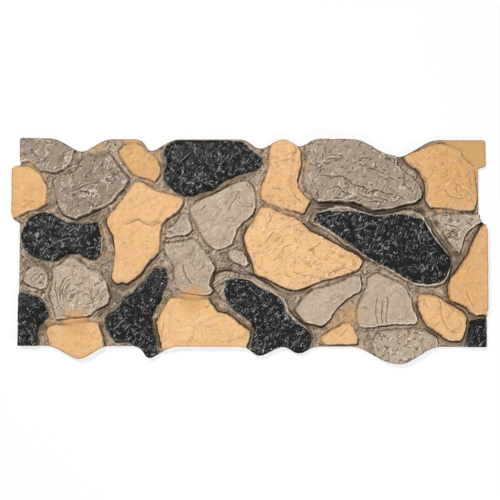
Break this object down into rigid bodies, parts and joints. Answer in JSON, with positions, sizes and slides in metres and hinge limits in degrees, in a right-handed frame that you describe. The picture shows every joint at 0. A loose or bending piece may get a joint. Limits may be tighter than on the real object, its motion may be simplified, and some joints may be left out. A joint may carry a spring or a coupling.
{
  "type": "faux stone wall panel",
  "caption": "Moulded faux fieldstone wall panel with a flat back and wavy interlocking edges, painted in buff, taupe and black over a brown mortar bed.",
  "frame": {"origin": "middle of the panel's bounding rectangle, on its flat back face", "axes": "+X along the panel's length, to the right as the panel is seen from the front; +Y up the wall, towards the edge with the notches; +Z out of the wall, towards the stones. The panel lies on its back, face up."},
  "size_m": [1.239, 0.5856, 0.0363],
  "materials": {
    "painted_foam": "matt paint on moulded foam, gloss on the black stones"
  },
  "bodies": {
    "root": {"panel": "painted_foam"}
  },
  "joints": []
}
